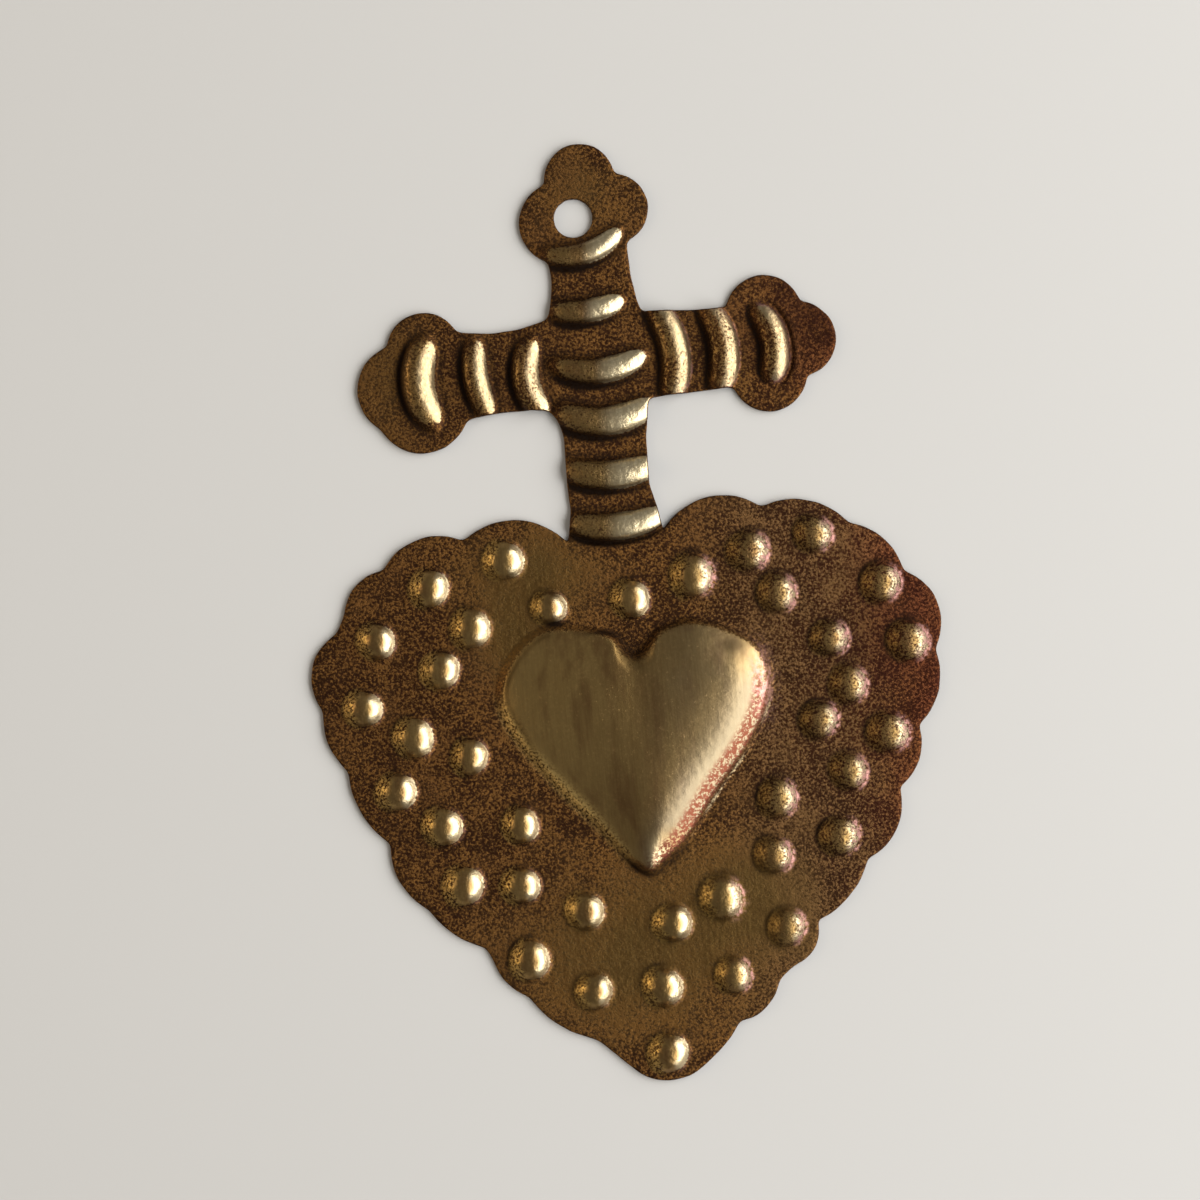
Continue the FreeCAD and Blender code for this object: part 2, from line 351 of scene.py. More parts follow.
def softened(loop, reach):
    """A closed, evenly spaced loop with its corners blurred over a reach."""
    step = np.linalg.norm(loop[1] - loop[0])
    waves = 2 * math.pi * np.fft.fftfreq(len(loop), step)
    line = np.fft.fft(loop[:, 0] + 1j * loop[:, 1]) * np.exp(-0.5 * (waves * reach) ** 2)
    line = np.fft.ifft(line)
    return np.column_stack((line.real, line.imag))


def outward_of(loop):
    """Unit directions out of the material all along a closed loop."""
    along = np.roll(loop, -1, axis=0) - np.roll(loop, 1, axis=0)
    along /= np.linalg.norm(along, axis=1)[:, None]
    return np.column_stack((along[:, 1], -along[:, 0]))


def waver(points, size, layer):
    """Slow, even irregularity between -1 and 1 at places on the sheet."""
    return np.array([noise.noise(Vector((x / size, y / size, layer))) for x, y in points.tolist()])


def cut_edge():
    """The die-cut outline around its own middle, and where that middle lies on the charm."""
    corners = [(charm_place(x, y, cross=True), rise) for x, y, rise in CROSS_CORNER_SHARES]
    corners += [(charm_place(x, y), rise) for x, y, rise in HEART_CORNER_SHARES]
    ends = corners[1:] + corners[:1]
    loop = np.vstack([cut_arc(a, b, rise, edge_step) for (a, rise), (b, _) in zip(corners, ends)])
    middle = (loop.min(0) + loop.max(0)) / 2
    loop = evenly_spaced(loop, round(len(loop) * edge_points_kept))
    loop = softened(loop, corner_softening)
    unevenness = waver(loop, edge_waver_size, EDGE_LAYER) * edge_waver
    loop = loop + outward_of(loop) * unevenness[:, None]
    return loop - middle, middle


class ClosedEdge:
    """A closed loop that says how deep inside it a place lies."""

    def __init__(self, loop):
        self.loop = loop
        self.outward = outward_of(loop)
        self.tree = kdtree.KDTree(len(loop))
        for index, (x, y) in enumerate(loop.tolist()):
            self.tree.insert((x, y, 0), index)
        self.tree.balance()

    def depth(self, points):
        nearest = [self.tree.find((x, y, 0))[1:] for x, y in points.tolist()]
        index = np.array([found[0] for found in nearest])
        reach = np.array([found[1] for found in nearest])
        away = ((points - self.loop[index]) * self.outward[index]).sum(1)
        return np.where(away < 0, reach, -reach)


outline, sheet_middle = cut_edge()
outline_edge = ClosedEdge(outline)


def on_sheet(share, cross=False):
    """A place on the sheet measured from the middle of the outline."""
    return charm_place(*share, cross=cross) - sheet_middle


def through(shares, count):
    """A smooth closed curve through a few points."""
    rows = np.array(shares)
    before, after, next_after = np.roll(rows, 1, 0), np.roll(rows, -1, 0), np.roll(rows, -2, 0)
    steps = (np.arange(curve_steps) / curve_steps)[None, :, None]
    p0, p1, p2, p3 = (r[:, None, :] for r in (before, rows, after, next_after))
    curve = 0.5 * (2 * p1 + (p2 - p0) * steps + (2 * p0 - 5 * p1 + 4 * p2 - p3) * steps ** 2
                   + (3 * p1 - p0 - 3 * p2 + p3) * steps ** 3)
    return evenly_spaced(curve.reshape(-1, 2), count)


boss_middle = on_sheet(boss_place_shares)


def boss_curve(shares):
    """The smooth closed edge through shares of the raised heart's size."""
    return ClosedEdge(through(shares, boss_points) * (boss_width, boss_length) + boss_middle)


boss_edge = boss_curve(BOSS_SHARES)
bridge_edge = boss_curve(BRIDGE_SHARES + BOSS_SHARES[2:])
bead_places = [on_sheet(share) for share in BEAD_SHARES]
hole_place = on_sheet(hole_place_shares, cross=True)


def blend_up(lower, upper, reach):
    """The higher of two surfaces, with the corner between them filled by a soft fillet."""
    overlap = np.maximum(reach - np.abs(lower - upper), 0) / reach
    return np.maximum(lower, upper) + reach / 4 * overlap ** 2


def round_back(across, radius, height, inset):
    """Height of a round-backed form across its middle line, drawn in by an inset for the hollow."""
    own = radius - inset
    steepest = own * math.sin(math.atan(steepest_slope))
    near = np.minimum(across, steepest)
    rise = np.sqrt(own ** 2 - near ** 2) - radius + height + inset
    return rise - steepest_slope * (across - near)


def bead_relief(points, inset):
    """Height of the beads, how far up its own dome each place stands, the ring at its foot and
    the flanks that face the light and the shade."""
    height, share, foot, lit_flank, shade_flank = np.zeros((5, len(points)))
    for number, place in enumerate(bead_places):
        away = points - place
        reach = np.linalg.norm(away, axis=1)
        near = np.flatnonzero(reach < bead_search)
        turn = np.arctan2(away[near, 1], away[near, 0])
        girth = BEAD_GIRTHS.get(number, 1 + bead_girth_spread * math.sin(number * bead_girth_turn))
        girth = girth + bead_two_swell * np.sin(2 * turn + number * bead_two_turn)
        girth = girth + bead_three_swell * np.sin(3 * turn + number * bead_three_turn)
        out = reach[near] / girth
        rise = round_back(out, bead_round, bead_height, inset)
        rise = blend_up(rise, 0 * rise, bead_foot_blend)
        height[near] = np.maximum(height[near], rise)
        share[near] = np.maximum(share[near], np.clip(rise / bead_height, 0, 1))
        # The dark ring at the foot: dirt all round, with painted shade that makes it darkest on the
        # dim side
        ring = soft_line(out, bead_foot, bead_ring_width) * (1 + np.cos(turn - dim_side))
        foot[near] = np.maximum(foot[near], bead_ring_strength * ring)
        facing = np.cos(turn - bright_side)
        flank = between(bead_flank_span, bead_flank_end_span, out)
        lit_flank[near] = np.maximum(lit_flank[near], flank * over(*lit_facing_span, facing))
        shade = flank * over(*shade_facing_span, -facing)
        shade_flank[near] = np.maximum(shade_flank[near], shade)
    return height, share, foot, lit_flank, shade_flank


class Bow:
    """The bowed middle line of one crescent ridge."""

    def __init__(self, first_end, crown, last_end, girth_share):
        ends = [on_sheet(share, cross=True) for share in (first_end, crown, last_end)]
        (ax, ay), (bx, by), (cx, cy) = ends
        twice_area = 2 * (ax * (by - cy) + bx * (cy - ay) + cx * (ay - by))
        sizes = [x * x + y * y for x, y in ends]
        self.middle = np.array((
            sizes[0] * (by - cy) + sizes[1] * (cy - ay) + sizes[2] * (ay - by),
            sizes[0] * (cx - bx) + sizes[1] * (ax - cx) + sizes[2] * (bx - ax))) / twice_area
        self.radius = np.linalg.norm(ends[0] - self.middle)
        self.crown_turn = self.turn_of(ends[1][None])[0]
        self.first = self.from_crown(ends[0][None])[0]
        self.last = self.from_crown(ends[2][None])[0]
        self.girth = girth_share
        self.crown = ends[1]

    def turn_of(self, points):
        return np.arctan2(points[:, 1] - self.middle[1], points[:, 0] - self.middle[0])

    def from_crown(self, points):
        turn = self.turn_of(points) - self.crown_turn
        return (turn + math.pi) % (2 * math.pi) - math.pi

    def lie(self, points):
        """Share of the way from the crown to an end, and distance to the outside of the bow."""
        turn = self.from_crown(points)
        share = np.where(turn * self.first > 0, turn / self.first, turn / self.last)
        return share, np.linalg.norm(points - self.middle, axis=1) - self.radius


bows = [Bow(*row) for row in RIDGE_SHARES]


def ridge_relief(points, inset):
    """Height of the ridges, how far up its own crest each place stands, the line of dirt and painted
    shade along its foot and the flank that faces the light."""
    height, share_up, line, lit_flank = np.zeros((4, len(points)))
    for bow in bows:
        half_width = ridge_width * bow.girth / 2
        crest = ridge_height * bow.girth
        radius = (half_width ** 2 + crest ** 2) / (2 * crest)
        near = np.flatnonzero(np.linalg.norm(points - bow.crown, axis=1) < ridge_search)
        share, out = bow.lie(points[near])

        # The crest leans away from the light, so one flank is broader than the other
        to_light = (bow.crown - bow.middle) @ light_way / bow.radius
        lean = -ridge_lean * to_light
        out = out - half_width * lean
        across = np.where(out > 0, out / (1 - lean), -out / (1 + lean))
        fall = np.abs(share) ** ridge_end_fall
        rise = round_back(across, radius, crest, inset) - crest * fall
        rise = blend_up(rise, 0 * rise, ridge_foot_blend)
        rise = np.where(np.abs(share) < ridge_end_share, rise, 0)

        # The feet of its two flanks, the crease along the outer one and the dirt and painted shade
        # along both
        foot = np.sqrt(np.maximum(radius ** 2 - (radius - crest * (1 - fall)) ** 2, 0))
        outer_foot, inner_foot = foot * (1 - lean), -foot * (1 + lean)
        ends = np.clip(ridge_line_ends - share ** 2, 0, 1)
        crease = soft_line(out, outer_foot + ridge_crease_gap, ridge_crease_width)
        crease = crease * ends * ridge_crease_depth
        outer_dirt_and_shade = soft_line(out, outer_foot + outer_dirt_and_shade_gap, outer_dirt_and_shade_width) * ends
        inner_dirt_and_shade = soft_line(out, inner_foot - inner_dirt_and_shade_gap, inner_dirt_and_shade_width)
        inner_dirt_and_shade = inner_dirt_and_shade * (np.abs(share) < inner_dirt_and_shade_end)
        inner_edge = soft_line(out, inner_foot, inner_edge_width) * (np.abs(share) < 1)
        # Painted shade: the line at the foot turned from the light is the darker one
        outer, inner = DIRT_AND_SHADE_TURNED_AWAY if to_light < faces_light else DIRT_AND_SHADE_TO_LIGHT
        lengthways = (points[near] - bow.crown) @ light_way / (bow.radius * abs(bow.last))
        if abs(to_light) > bowed_to_light:
            lit_side = over(*lit_side_span, np.sign(to_light) * out / half_width)
        else:
            # A ridge along the light: the painted shade at its outer foot grows darker towards the
            # end away from the light, and the painted highlight lies at its lit end
            outer = outer * (0.72 + 0.75 * over(*darker_end_span, lengthways))
            lit_side = over(*lit_end_span, lengthways)
        height[near] = np.maximum(height[near], rise) - crease
        share_up[near] = np.maximum(share_up[near], np.clip(rise / crest, 0, 1))
        line[near] = np.maximum.reduce((
            line[near], outer * outer_dirt_and_shade, inner * np.maximum(inner_dirt_and_shade, 0.8 * inner_edge)))
        lit_side = lit_side * over(*ridge_flank_span, rise / crest)
        lit_flank[near] = np.maximum(lit_flank[near], lit_side)
    return height, share_up, line, lit_flank


climb_depths = np.linspace(0, BOSS_CLIMB[-1][0], climb_steps)
climb_slopes = np.tan(np.radians(np.interp(climb_depths, *zip(*BOSS_CLIMB))))
climb_heights = np.concatenate(([0], np.cumsum((climb_slopes[1:] + climb_slopes[:-1]) / 2))) * (
    climb_depths[1] - climb_depths[0])
climb_heights *= boss_height / climb_heights[-1]


def boss_profile(depth):
    """Height of the raised heart at a depth in from its foot, falling away outside it."""
    return np.interp(depth, climb_depths, climb_heights) + np.minimum(depth, 0) * climb_slopes[0]


def boss_depth(points):
    """Depth in from the foot, growing faster along the short flank of the notch."""
    return np.minimum(bridge_edge.depth(points), notch_steepness * boss_edge.depth(points))


def boss_relief(points, inset):
    """Height of the raised heart, and how deep in from its foot each place lies."""
    height = np.zeros(len(points))
    depth = np.full(len(points), far_outside)
    half_size = np.array((boss_width, boss_length)) / 2
    near = np.flatnonzero((np.abs(points - boss_middle) < half_size + boss_search).all(1))
    shoulder = patch(points[near], boss_middle + soft_shoulder_place, soft_shoulder_reach)
    gentler = 1 - soft_shoulder * shoulder
    own = boss_edge.depth(points[near])
    rise = boss_profile((boss_depth(points[near]) - inset) * gentler)
    inner = own > evening_start
    spread = np.clip(evening_growth * (own[inner] - evening_start), 0, evening_reach)
    evened = rise[inner].copy()
    for step in range(evening_turns):
        turn = step * 2 * math.pi / evening_turns
        share = 1 if step % 2 else evening_inner_share
        aside = points[near][inner] + share * spread[:, None] * (math.cos(turn), math.sin(turn))
        evened += boss_profile((boss_depth(aside) - inset) * gentler[inner])
    rise[inner] = evened / (evening_turns + 1)
    sideways, down = ((points[near] - boss_middle - cleft_place) / cleft_reach).T
    cleft = cleft_depth * np.exp(-sideways ** 2 - np.where(down > 0, 0, down ** 2))
    rise = rise - cleft * np.clip(own / cleft_full_in, 0, 1)
    height[near] = blend_up(rise, 0 * rise, boss_foot_blend)
    depth[near] = own
    return height, depth


def slack(points):
    """The slight, slow rise and fall of a hand-worked sheet, never below the level of its back."""
    return sheet_slack * (1 + waver(points, slack_size, SLACK_LAYER))


# Spans of the sheet that marks come and go over, in mm from its middle: to the right, upwards
right_half_span = (2, 9)
arm_span, arm_height_span = (3.5, 5.5), (15, 17)
right_arm_span, upper_arm_span = (4, 6), (24.5, 27)
tan_span, tan_end_span, tan_top_span = (4, 12), (17, 23), (14, 8)
red_span = (9, 24)
red_edge_wander = 2.5
ground_blotching = 0.3
# How dark the nick at the foot of one bead is painted
nick_darkening = 1.2

# Spans of a bead's or a ridge's height, as shares, that are rubbed bare or rosy, and the share of a
# bead's height up to which its shaded flank takes the painted ochre glow
bead_bare_span, bead_low_span, bead_glow_top = (0.05, 0.42), (0.4, 1.2), 0.8
ridge_bare_span, ridge_rose_span = (0.10, 0.60), (0.2, 0.6)

# Spans in mm in from the foot of the raised heart: its top, and the band whose greyer tint colours
# the painted highlight and the coppery strip on its flank to the light
top_span = (0.05, 0.9)
band_span, band_end_span = (0.0, 0.3), (2.0, 5.0)
strip_span, strip_end_span = (0.20, 0.45), (1.3, 2.0)

# Lines along its foot, a painted highlight at the right and a painted glint at the lower left: how
# far in from it each lies, and how wide it is. The dirt and painted shade lie further in at the
# upper left, on the gentle shoulder.
OUTER_LINE, LEFT_LINE = (0.10, 0.26), (0.45, 0.48)
foot_dirt_and_shade_depth, foot_dirt_and_shade_upper_left, foot_dirt_and_shade_width = -0.08, 0.90, 0.26

# Spans in mm from its middle, towards the light or away from it
glow_span, left_glow_span = (-1.0, 7.0), (0.0, 6.0)
band_start_span, strip_start_span, outer_line_start_span = (1.5, 4.0), (2.5, 4.5), (3.0, 5.0)
left_side_span, left_line_span, lit_foot_span = (1.5, 5.5), (0.0, 2.5), (2.0, 5.0)

# Spans in mm up from its middle
below_shoulder_span, above_tip_span = (6.5, 3.5), (-9.0, -6.0)
outer_line_top_span, left_line_top_span, upper_left_span = (7.5, 4.5), (5.5, 2.5), (-3.0, 2.0)

# Small marks on it: place from the notch or from its middle, reach each way and strength
NOTCH_PATINA = ((-0.4, -0.1), 1.3, 0.35)
# Painted shade darkening the short flank of the notch
NOTCH_SHADE = ((-0.7, -0.2), 1.5, 0.5)
SHOULDER_DIRT = ((8.0, 7.3), (1.2, 0.8), 0.75)
TIP_SHINE = ((0.6, -9.2), (0.9, 1.4), 0.9)
FLANK_ROSE = ((10.2, 4.2), (0.8, 2.2), 0.8)


def bead_wear(share, foot_ring, lit_flank, shade_flank, right_half, blotch):
    """The beads: rubbed bare from the top and further on the flank to the light, with a ring of dirt
    and painted shade at the foot, a painted highlight on the flank to the light and a painted ochre
    glow on the shaded flank. At the sheet's right the flank to the light is rosy, a tint that stands
    partly for reflection."""
    # Bare metal: wear from the top, and partly painted light, more of it on the flank to the light
    # and less on the shaded one
    bare = over(*bead_bare_span, share + 0.10 * lit_flank) * (1 - 0.55 * shade_flank)
    low_on_dome = over(*bead_low_span, 2 * (1 - share))
    return {
        "rubbed_and_lit": bare * (1 - 0.42 * right_half),
        "dirt_and_shade": foot_ring * (0.52 + 0.7 * blotch + 0.25 * right_half),
        "painted_highlight": lit_flank,
        # Painted ochre glow of the weak lamp on the shaded flank
        "painted_ochre_glow": shade_flank * (share < bead_glow_top) * (1 - 0.6 * right_half),
        # Rosy tint on the flank to the lamp, which stands partly for reflection
        "rose": lit_flank * (0.15 + 0.85 * right_half) * low_on_dome,
    }


def ridge_wear(points, share, dirt_and_shade_line, lit_flank, right_half, blotch):
    """The ridges: rubbed most on the flank to the light, patchy and coppery on the arms."""
    on_arms = over(*arm_span, np.abs(points[:, 0])) * over(*arm_height_span, points[:, 1])
    on_right_arm = over(*right_arm_span, points[:, 0]) * over(*upper_arm_span, points[:, 1])
    # Bare metal, more of it on the flank to the light, partly wear and partly painted light
    bare = over(*ridge_bare_span, share + 0.25 * lit_flank) * (0.62 + 0.38 * lit_flank)
    return {
        "rubbed_and_lit": bare * (1 - on_arms * (0.22 + 0.25 * blotch)),
        "dirt_and_shade": dirt_and_shade_line,
        "painted_highlight": lit_flank * (1 - 0.55 * on_arms),
        # Coppery and rosy tints on the flank to the lamp, which stand partly for reflection
        "copper": lit_flank * (0.22 + 0.5 * on_right_arm),
        "rose": 0.5 * lit_flank * right_half * (1 - over(*ridge_rose_span, share)),
    }


def small_mark(points, place, mark):
    """A small soft mark, set off from a place."""
    offset, reach, strength = mark
    return strength * patch(points, place + offset, reach)


def boss_wear(points, depth, blotch):
    """The raised heart: bare and brushed on top, with a painted glow on each half, a silvery band
    tinting the painted highlight and a coppery strip on the flank to the light, a painted glint line
    at its lower left foot, dirt and painted shade along its foot and painted shade in the notch."""
    to_light = (points - boss_middle) @ light_way
    up = points[:, 1] - boss_middle[1]
    to_light_or_tip = to_light - 0.3 * np.minimum(up, 0)
    notch = boss_middle + np.array(BOSS_SHARES[0]) * (boss_width, boss_length)
    top = over(*top_span, depth)
    below_shoulder = over(*below_shoulder_span, up)

    # Bare metal, and the thin bright line along its foot at the right, a painted highlight
    bare = 0.92 * top * (1 - small_mark(points, notch, NOTCH_PATINA))
    outer_line = soft_line(depth, *OUTER_LINE) * (0.45 + 0.6 * blotch)
    outer_line *= over(*outer_line_start_span, to_light) * over(*outer_line_top_span, up)

    # Dirt and painted shade along its foot, less of it towards the light and at the lower left
    left_side = over(*left_side_span, -to_light)
    upper_left = left_side * over(*upper_left_span, up)
    foot_depth = foot_dirt_and_shade_depth + foot_dirt_and_shade_upper_left * upper_left
    foot = soft_line(depth, foot_depth, foot_dirt_and_shade_width) * (0.6 + 0.8 * blotch)
    foot *= 1 - 0.85 * over(*lit_foot_span, to_light)
    foot *= 1 - 0.75 * (left_side - upper_left)
    shoulder_dirt = small_mark(points, boss_middle, SHOULDER_DIRT) * top * (0.8 + blotch)

    # Painted light caught by its flanks and its tip: a highlight at the tip, a glint line at the
    # lower left foot and a soft glow towards the light
    tip_shine = small_mark(points, boss_middle, TIP_SHINE) * top
    # Painted glint line along the lower left foot, where the weak lamp is caught
    left_line = soft_line(depth, *LEFT_LINE) * (1 + 0.6 * blotch) * over(*left_line_span, -to_light)
    band = between(band_span, band_end_span, depth) * over(*band_start_span, to_light_or_tip)
    strip = between(strip_span, strip_end_span, depth) * over(*strip_start_span, to_light_or_tip)
    return {
        "rubbed_and_lit": np.maximum(bare, outer_line),
        "dirt_and_shade": np.maximum.reduce((foot, small_mark(points, notch, NOTCH_SHADE), shoulder_dirt)),
        "smooth": top,
        "painted_highlight": np.maximum.reduce((
            0.16 * top * over(*glow_span, to_light), tip_shine, 0.8 * outer_line)),
        # Painted glow over the half of its top turned from the key light
        "painted_left_glow": 0.75 * top * over(*left_glow_span, -to_light),
        "painted_glint": left_line * over(*left_line_top_span, up),
        # Greyer tint of the painted highlight on the band that faces the lamp
        "silvery": 0.88 * band * below_shoulder * over(*above_tip_span, up),
        "copper": strip * below_shoulder,
        "rose": small_mark(points, boss_middle, FLANK_ROSE),
        "dented": 0.75 - 0.55 * top,
    }


def ground_wear(points, blotch):
    """The flat ground: brushed patches, a tan middle right, a redder edge and black places."""
    across, up = points.T
    brushed = sum(share * patch(points, place, reach) for place, reach, share in SMOOTH_PATCHES)
    return {
        "dirt_and_shade": nick_darkening * patch(points, bead_places[nicked_bead] + nick_offset, nick_reach),
        "smooth": brushed + ground_blotching * blotch,
        "reddened": over(*red_span, across + red_edge_wander * blotch) + ground_blotching * blotch,
        "tan": between(tan_span, tan_end_span, across) * over(*tan_top_span, up),
        "sooty": sum(share * patch(points, place, reach) for place, reach, share in SOOTY_PATCHES),
    }


def strongest(*wears):
    """Every mark at its strongest where several forms leave it, from 0 to 1."""
    marks = {}
    for wear in wears:
        for name, values in wear.items():
            marks[name] = np.maximum(marks.get(name, 0), values)
    return {name: np.clip(values, 0, 1) for name, values in marks.items()}


def struck_face(points):
    """Height of the struck face over the level of the back, and the marks of its wear and dirt and
    of the light and shade painted on it.
    """
    beads, *bead_marks = bead_relief(points, 0)
    ridges, *ridge_marks = ridge_relief(points, 0)
    boss, depth = boss_relief(points, 0)
    pitting = pitting_depth * waver(points, pitting_size, PITTING_LAYER)
    struck = np.maximum(np.maximum(beads, boss), 0) + ridges
    height = sheet_thickness + struck + slack(points) + pitting
    blotch = waver(points, blotch_size, BLOTCH_LAYER)
    right_half = over(*right_half_span, points[:, 0])
    return height, strongest(
        bead_wear(*bead_marks, right_half, blotch),
        ridge_wear(points, *ridge_marks, right_half, blotch),
        boss_wear(points, depth, blotch),
        ground_wear(points, blotch))


def back_height(points):
    """Height of the hollow back over its own level."""
    beads = bead_relief(points, sheet_thickness)[0]
    ridges = ridge_relief(points, sheet_thickness)[0]
    boss = boss_relief(points, sheet_thickness)[0]
    return np.maximum(np.maximum(np.maximum(beads, boss), ridges), 0) + slack(points)


def lattice(step):
    """Places of an even three-way lattice over the charm, with the row and column of each."""
    low, high = outline.min(0), outline.max(0)
    rows = np.arange(int((high[1] - low[1]) / (step * math.sqrt(0.75))) + 1)
    columns = np.arange(int((high[0] - low[0]) / step) + 1)
    column, row = [grid.ravel() for grid in np.meshgrid(columns, rows)]
    x = low[0] + (column - (row % 2) / 2) * step
    y = low[1] + row * step * math.sqrt(0.75)
    return np.column_stack((x, y)), row, column


def on_forms(points):
    """Which places lie on or close to a struck form, and which ones on the raised heart."""
    near = np.zeros(len(points), bool)
    for place in bead_places:
        near |= np.linalg.norm(points - place, axis=1) < fine_round_bead
    for bow in bows:
        share, out = bow.lie(points)
        near |= (np.abs(share) < fine_ridge_share) & (np.abs(out) < fine_beside_ridge) & (
            np.linalg.norm(points - bow.crown, axis=1) < fine_round_crown)
    depth = boss_edge.depth(points)
    return near | ((depth > fine_boss_foot[0]) & (depth < fine_boss_foot[1])), depth > 0


def skin(loops, points):
    """Triangles over the sheet between its closed loops, through the given inner places."""
    every = np.vstack(loops + [points])
    edges = []
    start = 0
    for loop in loops:
        count = len(loop)
        edges += [(start + i, start + (i + 1) % count) for i in range(count)]
        start += count
    corners = [Vector(point) for point in every.tolist()]
    made = geometry.delaunay_2d_cdt(corners, edges, [], 1, least_gap)
    faces = np.array(made[2])
    places = np.array([tuple(v) for v in made[0]])
    middles = places[faces].mean(1)
    faces = faces[np.linalg.norm(middles - hole_place, axis=1) > hole_diameter / 2]
    if len(places) != len(every):
        raise ValueError("the lattice met the cut edge")
    return faces


def inner_places(step, stride, margin):
    """Lattice places inside the sheet. With a stride, all of them stay at the forms, fewer on top
    of the raised heart and fewest on the flat ground."""
    points, row, column = lattice(step)
    near_hole = np.linalg.norm(points - hole_place, axis=1)
    kept = (outline_edge.depth(points) > margin) & (near_hole > hole_diameter / 2 + margin)
    points, row, column = points[kept], row[kept], column[kept]
    if stride > 1:
        close, in_boss = on_forms(points)
        on_ground = (row % stride == 0) & (column % stride == 0)
        on_boss = in_boss & (row % boss_stride == 0) & (column % boss_stride == 0)
        points = points[close | on_ground | on_boss]
    return points


def drawn(loop, inwards):
    """The same closed loop, drawn in from the cut edge."""
    return loop - outward_of(loop) * inwards


def wall(first, last, count):
    """Quads between two rings of equally many points."""
    i = np.arange(count)
    j = (i + 1) % count
    return np.column_stack((first + i, last + i, last + j, first + j))


# The hole's edge runs clockwise, so that its outward side is out of the material too
hole_turns = -2 * math.pi * np.arange(hole_steps) / hole_steps
hole_round = np.column_stack((np.cos(hole_turns), np.sin(hole_turns)))
hole_loop = hole_place + hole_diameter / 2 * hole_round


def pressed_mesh():
    """The whole sheet as one closed mesh: struck face, hollow back and rounded cut edges."""
    loops = [outline, hole_loop]
    front_loops = [drawn(loop, edge_roll) for loop in loops]
    back_loops = [drawn(loop, back_burr) for loop in loops]
    front_inner = inner_places(fine_step, ground_stride, face_margin)
    back_inner = inner_places(back_step, 1, back_margin)
    front = np.vstack(front_loops + [front_inner])
    back = np.vstack(back_loops + [back_inner])
    front_z, face_marks = struck_face(front)
    least_sheet = least_sheet_share * sheet_thickness
    back_z = np.minimum(back_height(back), struck_face(back)[0] - least_sheet)
    back_z = np.maximum(back_z, 0)
    faces = [skin(front_loops, front_inner), skin(back_loops, back_inner)[:, ::-1] + len(front)]
    rows = [np.column_stack((front, front_z)), np.column_stack((back, back_z))]
    ring_start = len(front) + len(back)
    walls = []
    at = 0
    for loop in loops:
        count = len(loop)
        top = front_z[at:at + count]
        low = back_z[at:at + count]
        halfway = edge_roll * (1 - math.sin(math.pi / 4))
        rings = [
            np.column_stack((drawn(loop, halfway), top - halfway)),
            np.column_stack((loop, top - edge_roll)),
            np.column_stack((loop, low + back_burr)),
        ]
        chain = [at] + [ring_start + count * n for n in range(3)] + [len(front) + at]
        walls += [wall(a, b, count) for a, b in zip(chain, chain[1:])]
        rows += rings
        ring_start += 3 * count
        at += count
    places = np.vstack(rows)
    unmarked = (0, len(places) - len(front))
    marks = {name: np.pad(values, unmarked) for name, values in face_marks.items()}
    return places, faces, walls, marks


def srgb(hex_code):
    """A colour written as sRGB hex, turned to the linear values that a shader takes."""
    parts = [int(hex_code[i:i + 2], 16) / 255 for i in (0, 2, 4)]
    return tuple(p / 12.92 if p <= 0.04045 else ((p + 0.055) / 1.055) ** 2.4 for p in parts) + (1,)


places, skins, walls, marks = pressed_mesh()
mesh = bpy.data.meshes.new("pressed_brass_charm")
quads = np.vstack(walls)
triangles = np.vstack(skins)
mesh.vertices.add(len(places))
mesh.vertices.foreach_set("co", (places * MM).ravel())
loop_ends = np.concatenate((triangles.ravel(), quads.ravel()))
sizes = np.concatenate((np.full(len(triangles), 3), np.full(len(quads), 4)))
mesh.loops.add(len(loop_ends))
mesh.loops.foreach_set("vertex_index", loop_ends)
mesh.polygons.add(len(sizes))
mesh.polygons.foreach_set("loop_start", np.concatenate(([0], np.cumsum(sizes)[:-1])))
mesh.polygons.foreach_set("loop_total", sizes)
mesh.update(calc_edges=True)
mesh.polygons.foreach_set("use_smooth", np.ones(len(sizes), bool))
for name, values in marks.items():
    attribute = mesh.attributes.new(name, "FLOAT", "POINT")
    attribute.data.foreach_set("value", values.astype(np.float32))
print("charm", len(places), "points", len(triangles) + 2 * len(quads), "triangles", mesh.validate())
charm = bpy.data.objects.new("pressed_brass_charm", mesh)
bpy.context.scene.collection.objects.link(charm)


def node(tree, kind, settings=None, **links):
    """Adds a node with its settings, and joins or sets each named or numbered input."""
    made = tree.nodes.new(kind)
    for key, value in (settings or {}).items():
        setattr(made, key, value)
    for key, value in links.items():
        numbered = key[0] == "i" and key[1:].isdigit()
        socket = made.inputs[int(key[1:]) if numbered else key.replace("_", " ")]
        if isinstance(value, bpy.types.NodeSocket):
            tree.links.new(value, socket)
        else:
            socket.default_value = value
    return made


# Sheet brass, struck in a die and left to age: a dark brown patina in fine specks over a dull olive
# metal, worn through to pale, softly shining brass wherever a form stands out. Over this lies
# painted light: paler highlights, glints and warm glows on the flanks turned to the lamps, and
# painted shade with the dirt at the feet of the forms.
brass = bpy.data.materials.new("old_pressed_brass")
brass.use_nodes = True
tree = brass.node_tree
shader = tree.nodes["Principled BSDF"]
metres = node(tree, "ShaderNodeTexCoord").outputs["Object"]
place = node(tree, "ShaderNodeVectorMath", {"operation": "SCALE"},
             i0=metres, Scale=1 / MM).outputs[0]

